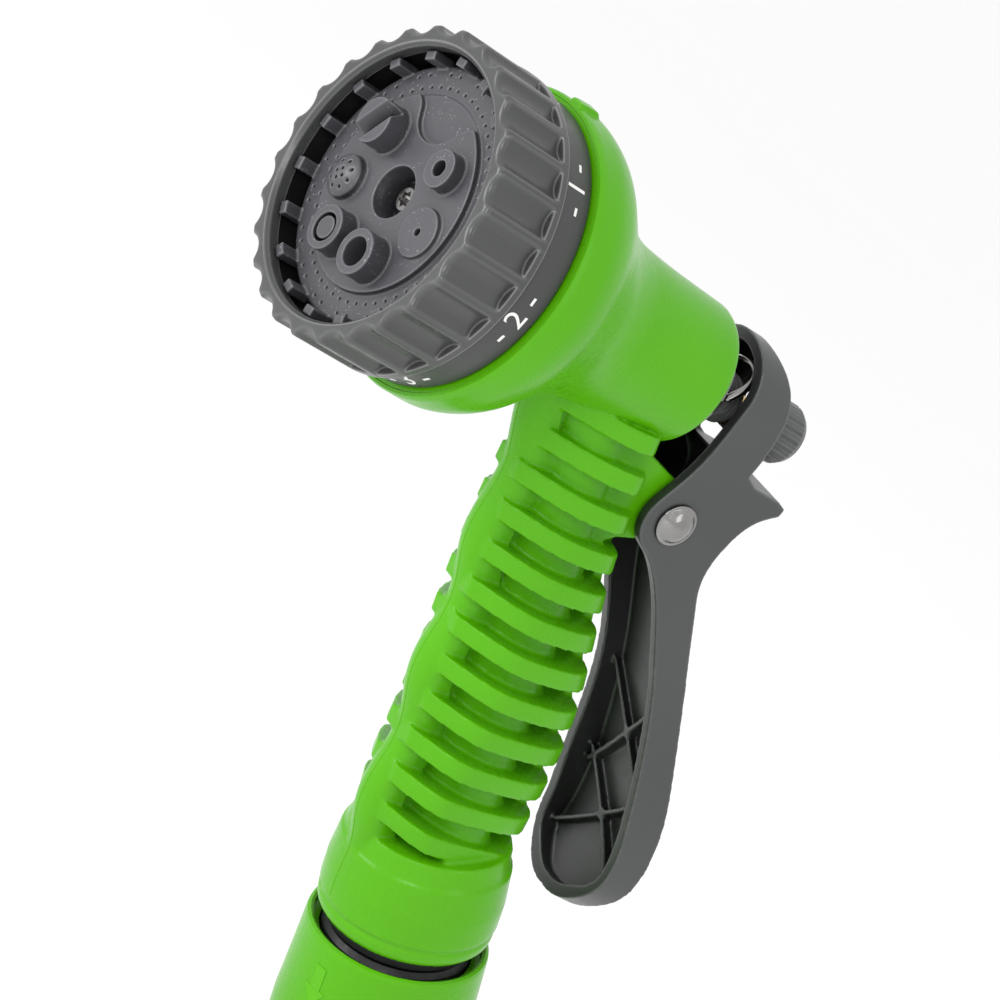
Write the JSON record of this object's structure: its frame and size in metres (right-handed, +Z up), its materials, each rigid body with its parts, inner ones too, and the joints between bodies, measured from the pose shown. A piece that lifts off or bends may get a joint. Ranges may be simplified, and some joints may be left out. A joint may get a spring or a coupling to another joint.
{
  "type": "hose spray nozzle",
  "caption": "Garden hose spray nozzle: ribbed pistol handle, rear squeeze lever, turning pattern dial and a quick-release hose coupling.",
  "frame": {"origin": "centre of the hose nut's mouth, on the handle's axis", "axes": "-Y is the way the water leaves, +Z is up along the handle's side of the gun with the spray axis level, +X is across; the handle leans back 24.8 degrees from Z"},
  "size_m": [0.0614, 0.1567, 0.2148],
  "materials": {
    "green": "semi-gloss moulded",
    "lever_grey": "fine matte moulded",
    "dial_grey": "satin moulded",
    "face_grey": "satin moulded",
    "dark_plastic": "satin moulded",
    "rubber": "matte",
    "steel": "bright drawn",
    "brass": "turned"
  },
  "bodies": {
    "housing_body": {"housing": "green", "inlet_adapter": "dark_plastic", "inlet_washer": "rubber", "inlet_seal": "rubber", "distributor": "dark_plastic", "port_seal": "rubber", "port_spring": "steel", "detent_ball": "steel", "detent_spring": "steel", "face_screw": "steel", "face_washer": "steel", "gland_nut": "dial_grey", "gland_seal": "rubber", "stem_seal": "rubber", "return_spring": "steel", "pivot_rivet": "steel", "rivet_washer": "steel"},
    "dial": {"dial_ring": "dial_grey", "face_plate": "face_grey", "port_plate": "dark_plastic"},
    "stem": {"valve_stem": "brass", "valve_seal": "rubber"},
    "knob": {"flow_knob": "lever_grey"},
    "lever_body": {"lever": "lever_grey"},
    "clip": {"lock_clip": "steel"},
    "coupling": {"coupling_body": "dark_plastic", "coupling_jaws": "dark_plastic", "collar_spring": "steel", "hose_nut": "dark_plastic", "hose_grip": "dark_plastic"},
    "release_collar": {"coupling_collar": "green"}
  },
  "joints": [
    {"name": "dial_turn", "type": "hinge", "parent": "housing_body", "child": "dial", "pos_m": [0, -0.13291, 0.17792], "axis": [0, 1, 0], "continuous": true},
    {"name": "lever_squeeze", "type": "hinge", "parent": "housing_body", "child": "lever_body", "pos_m": [0, -0.04621, 0.15452], "axis": [-1, 0, 0], "range_deg": [0, 7.2], "stiffness_Nm_per_rad": 1.2, "springref_deg": -14.32},
    {"name": "stem_slide", "type": "slide", "parent": "housing_body", "child": "stem", "axis": [0, 1, 0], "range_m": [0, 0.0027], "deforming": ["return_spring"]},
    {"name": "knob_turn", "type": "hinge", "parent": "stem", "child": "knob", "pos_m": [0, -0.03291, 0.17792], "axis": [0, 1, 0], "range_deg": [0, 720]},
    {"name": "clip_tip", "type": "hinge", "parent": "housing_body", "child": "clip", "pos_m": [0, -0.05191, 0.17952], "axis": [1, 0, 0], "range_deg": [0, 24]},
    {"name": "coupling_swivel", "type": "hinge", "parent": "housing_body", "child": "coupling", "pos_m": [0, 0, 0], "axis": [0, 0.4195, -0.9078], "continuous": true},
    {"name": "collar_release", "type": "slide", "parent": "coupling", "child": "release_collar", "axis": [0, 0.4195, -0.9078], "range_m": [0, 0.003], "stiffness_N_per_m": 1500, "springref_m": -0.002, "deforming": ["collar_spring"]}
  ],
  "couplings": [
    {"joint": "stem_slide", "follows": "lever_squeeze", "m_per_rad": 0.021}
  ]
}
